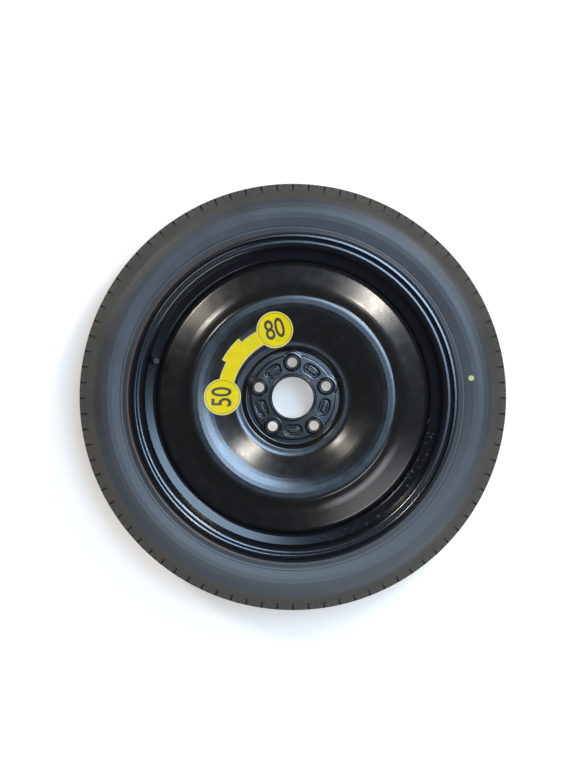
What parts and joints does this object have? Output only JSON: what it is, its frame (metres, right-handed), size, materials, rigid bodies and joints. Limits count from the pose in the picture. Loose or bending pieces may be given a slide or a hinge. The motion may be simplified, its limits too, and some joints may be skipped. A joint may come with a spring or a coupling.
{
  "type": "spare wheel",
  "caption": "Narrow temporary-use spare wheel: pressed steel disc welded in a drop-centre steel rim, slim tyre, snap-in valve with screw cap, yellow speed label.",
  "frame": {"origin": "centre of the centre bore in the plane of the hub mounting face", "axes": "+Z along the wheel's axis, outboard, and up, because the wheel lies on its inboard side; +Y is the top of the picture and +X its right"},
  "size_m": [0.657, 0.657, 0.1268],
  "materials": {
    "tyre": "matt rubber, bluish grey",
    "rim": "gloss black",
    "disc": "satin black",
    "weld_beads": "satin black",
    "valve_body": "matt",
    "valve_stem": "plain",
    "core_barrel": "plain",
    "core_washer": "matt",
    "core_pin": "plain",
    "core_seal": "matt",
    "core_spring": "plain",
    "valve_cap": "matt",
    "cap_washer": "matt",
    "speed_label": "printed film"
  },
  "bodies": {
    "wheel": {"tyre": "tyre", "rim": "rim", "disc": "disc", "weld_beads": "weld_beads", "valve_body": "valve_body", "valve_stem": "valve_stem", "core_barrel": "core_barrel", "core_washer": "core_washer", "core_spring": "core_spring", "speed_label": "speed_label"},
    "pin": {"core_pin": "core_pin", "core_seal": "core_seal"},
    "cap": {"valve_cap": "valve_cap", "cap_washer": "cap_washer"}
  },
  "joints": [
    {"name": "pin_press", "type": "slide", "parent": "wheel", "child": "pin", "axis": [0.2003, -0.0556, 0.9781], "range_m": [-0.001, 0], "stiffness_N_per_m": 800, "springref_m": 0.0005, "deforming": ["core_spring"]},
    {"name": "cap_off", "type": "slide", "parent": "wheel", "child": "cap", "axis": [0.2003, -0.0556, 0.9781], "range_m": [0, 0.014]}
  ]
}
